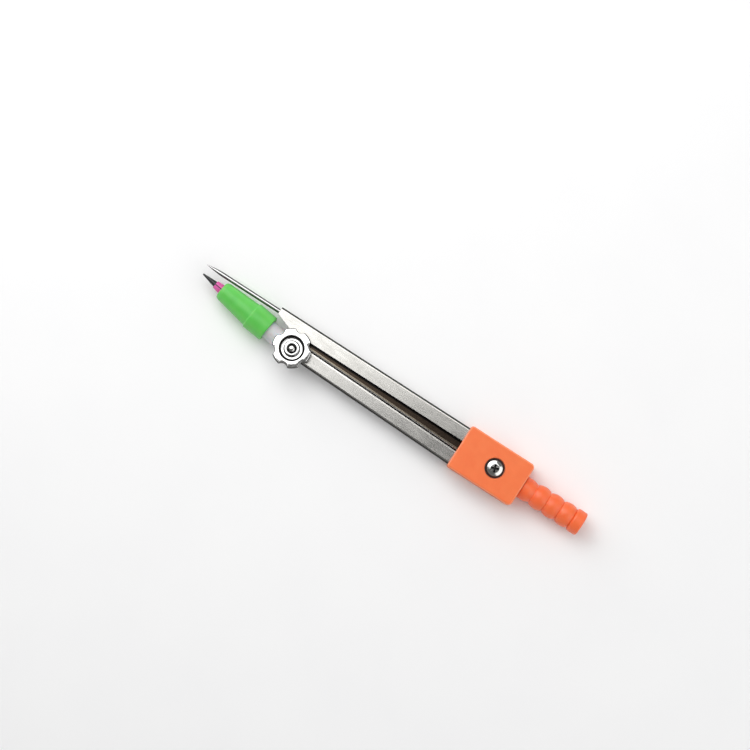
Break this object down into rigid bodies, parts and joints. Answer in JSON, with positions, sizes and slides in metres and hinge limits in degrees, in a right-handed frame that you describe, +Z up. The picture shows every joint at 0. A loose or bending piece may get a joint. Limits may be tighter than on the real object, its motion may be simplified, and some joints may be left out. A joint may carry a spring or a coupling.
{
  "type": "drawing compass",
  "caption": "School drawing compass with a ribbed handle on a yoke head, two folded steel legs, a fixed needle, and a knee-jointed collet lead holder clamped by a thumb nut.",
  "frame": {"origin": "on the plane the compass rests on, under the middle of its length and width", "axes": "+X from the needle and lead points to the handle, +Y towards the needle leg, +Z up through the back plate, the head and the thumb nut"},
  "size_m": [0.135, 0.0158, 0.0104],
  "materials": {
    "orange_plastic": "satin",
    "handle_orange": "satin",
    "bright_steel": "gloss",
    "dark_steel": "satin",
    "dull_steel": "satin",
    "needle_steel": "gloss",
    "satin_nickel": "satin",
    "chrome": "polished",
    "nylon": "satin",
    "milky_plastic": "satin",
    "pink_plastic": "satin",
    "green_plastic": "satin",
    "graphite": "satin"
  },
  "bodies": {
    "head": {"head_yoke": "orange_plastic", "handle": "handle_orange", "pivot_screw": "bright_steel", "pivot_sleeve_nut": "bright_steel", "pivot_spring_washer": "dark_steel", "front_friction_washer": "nylon", "back_friction_washer": "nylon", "ear_spacer": "nylon"},
    "needle_leg": {"needle_leg": "satin_nickel", "needle_wedge": "dull_steel", "needle": "needle_steel"},
    "pencil_leg": {"pencil_leg": "satin_nickel"},
    "knee_bolt": {"knee_bolt": "bright_steel", "knee_washer": "bright_steel", "knee_spacer": "bright_steel"},
    "thumb_nut": {"thumb_nut": "chrome"},
    "lead_holder": {"lead_holder": "milky_plastic", "collet": "pink_plastic"},
    "nose_cap": {"nose_cap": "green_plastic"},
    "lead": {"lead": "graphite"}
  },
  "joints": [
    {"name": "needle_leg_swing", "type": "hinge", "parent": "head", "child": "needle_leg", "pos_m": [0.0368, 0.00082, 0.0043], "axis": [0, 0, -1], "range_deg": [0, 60]},
    {"name": "pencil_leg_swing", "type": "hinge", "parent": "head", "child": "pencil_leg", "pos_m": [0.0368, 0.00082, 0.0043], "axis": [0, 0, 1], "range_deg": [0, 60]},
    {"name": "knee_follow", "type": "hinge", "parent": "pencil_leg", "child": "knee_bolt", "pos_m": [-0.03244, -0.00197, 0.0043], "axis": [0, 0, -1], "range_deg": [0, 60]},
    {"name": "knee_bend", "type": "hinge", "parent": "knee_bolt", "child": "lead_holder", "pos_m": [-0.03244, -0.00197, 0.0043], "axis": [0, 0, 1], "range_deg": [-0.5, 90]},
    {"name": "thumb_nut_turn", "type": "hinge", "parent": "knee_bolt", "child": "thumb_nut", "pos_m": [-0.03244, -0.00197, 0.0043], "axis": [0, 0, 1], "continuous": true},
    {"name": "nose_cap_turn", "type": "hinge", "parent": "lead_holder", "child": "nose_cap", "pos_m": [-0.03244, -0.00197, 0.0043], "axis": [-0.9914, 0.1305, 0], "continuous": true},
    {"name": "lead_feed", "type": "slide", "parent": "lead_holder", "child": "lead", "axis": [-0.9914, 0.1305, 0], "range_m": [-0.003, 0.01]}
  ],
  "couplings": [
    {"joint": "knee_follow", "follows": "pencil_leg_swing", "ratio": 1}
  ]
}
